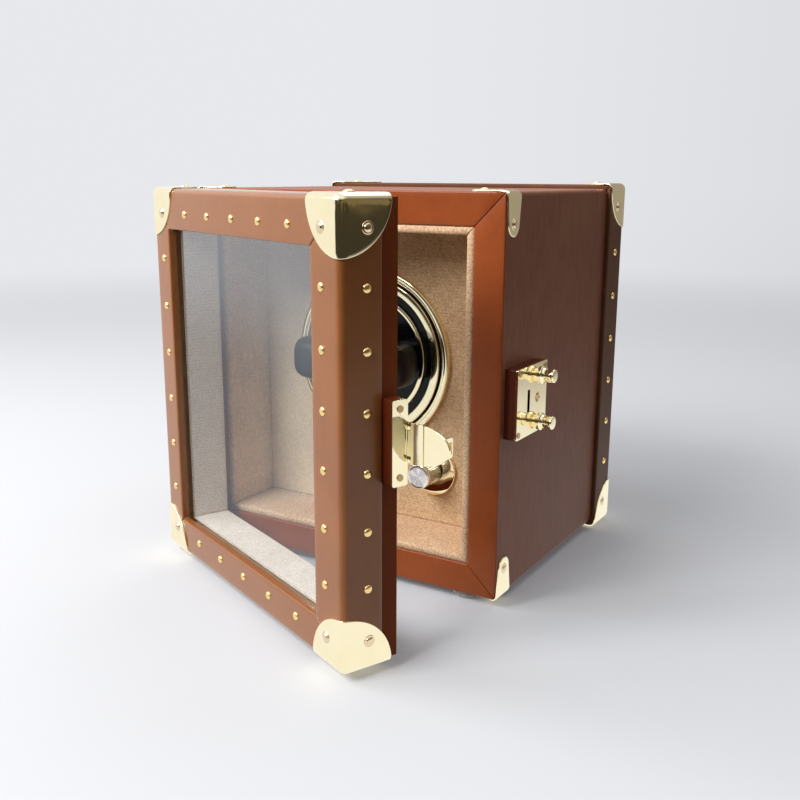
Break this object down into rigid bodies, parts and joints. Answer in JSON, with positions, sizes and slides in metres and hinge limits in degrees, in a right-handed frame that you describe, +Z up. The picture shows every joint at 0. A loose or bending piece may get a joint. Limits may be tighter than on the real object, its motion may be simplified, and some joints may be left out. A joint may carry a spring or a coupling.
{
  "type": "watch winder",
  "caption": "Leather trunk watch winder with a suede lined recess, a turning cushion, a deep glazed door on the left and a brass hasp and lock",
  "frame": {"origin": "centre of the case's underside, on the leather of the bottom; the feet and the rear band reach below it", "axes": "+X to the right seen from the front, +Y to the back, +Z up; the recess faces -Y"},
  "size_m": [0.2249, 0.2761, 0.2209],
  "materials": {
    "board_wood": "satin",
    "case_leather": "satin",
    "trim_leather": "satin",
    "suede": "matte",
    "brass": "polished",
    "clear_glass": "polished",
    "clear_rubber": "satin",
    "black_gloss": "polished",
    "black_leather": "satin",
    "black_plastic": "matte",
    "steel": "brushed",
    "mirror_gold": "polished",
    "knob_metal": "brushed",
    "board_green": "matte"
  },
  "bodies": {
    "case": {"case_bottom_board": "board_wood", "case_top_board": "board_wood", "case_left_board": "board_wood", "case_right_board": "board_wood", "case_leather_sleeve": "case_leather", "case_front_rails": "trim_leather", "recess_liner": "suede", "winder_panel": "suede", "rear_band": "trim_leather", "back_battens": "board_wood", "back_panel": "case_leather", "rear_corner_caps": "brass", "front_corner_straps": "brass", "case_nails": "brass", "feet": "clear_rubber", "hinge_arms": "brass", "lock_block": "trim_leather", "lock_plate": "brass", "bumper_studs": "brass", "case_screws": "brass", "rotor_bezel": "brass", "drive_front_plate": "steel", "drive_rear_plate": "steel", "drive_pillars": "steel", "shaft_bushes": "brass", "motor": "steel", "motor_screws": "steel", "control_board": "board_green", "board_standoffs": "black_plastic", "selector_switch": "black_plastic", "inlet_nut": "steel", "knob_disc": "mirror_gold", "power_inlet": "black_plastic"},
    "door": {"door_core": "board_wood", "door_edge_skin": "case_leather", "door_band": "trim_leather", "door_glass": "clear_glass", "door_lining": "suede", "door_corner_caps": "brass", "door_nails": "brass", "hinge_pins": "brass", "hasp_block": "trim_leather", "hasp_plate": "brass", "hasp_screws": "brass", "hasp_pin": "brass"},
    "hasp": {"hasp_flap": "brass"},
    "rotor": {"rotor_dish": "black_gloss", "rotor_outer_trim": "brass", "rotor_inner_trim": "brass", "rotor_gear": "black_plastic", "rotor_shaft": "steel", "cushion_sockets": "black_plastic"},
    "cushion": {"watch_cushion": "black_leather", "cushion_core": "black_plastic"},
    "pinion": {"motor_pinion": "black_plastic", "motor_shaft": "steel"},
    "selector": {"selector_knob": "knob_metal", "selector_shaft": "steel"},
    "key": {"key_barrel": "brass"},
    "bolt": {"lock_bolt": "steel"}
  },
  "joints": [
    {"name": "door_hinge", "type": "hinge", "parent": "case", "child": "door", "pos_m": [-0.095, -0.094, 0.106], "axis": [0, 0, -1], "range_deg": [-23.5, 81.5]},
    {"name": "hasp_hinge", "type": "hinge", "parent": "door", "child": "hasp", "pos_m": [0.09554, -0.16464, 0.106], "axis": [0, 0, -1], "range_deg": [-76, 74]},
    {"name": "rotor_spin", "type": "hinge", "parent": "case", "child": "rotor", "pos_m": [0, -0.0475, 0.1165], "axis": [0, 1, 0], "continuous": true},
    {"name": "cushion_slide", "type": "slide", "parent": "rotor", "child": "cushion", "axis": [0, -1, 0], "range_m": [0, 0.012]},
    {"name": "pinion_spin", "type": "hinge", "parent": "case", "child": "pinion", "pos_m": [0, -0.0155, 0.0865], "axis": [0, 1, 0], "continuous": true},
    {"name": "selector_turn", "type": "hinge", "parent": "case", "child": "selector", "pos_m": [0.041, -0.0555, 0.0534], "axis": [0, 1, 0], "range_deg": [-150, 150]},
    {"name": "key_turn", "type": "hinge", "parent": "case", "child": "key", "pos_m": [0.105, -0.0525, 0.106], "axis": [1, 0, 0], "range_deg": [0, 90]},
    {"name": "bolt_slide", "type": "slide", "parent": "case", "child": "bolt", "axis": [0, -1, 0], "range_m": [0, 0.0042]}
  ],
  "couplings": [
    {"joint": "pinion_spin", "follows": "rotor_spin", "ratio": -4},
    {"joint": "key_turn", "follows": "bolt_slide", "rad_per_m": 373.9}
  ]
}
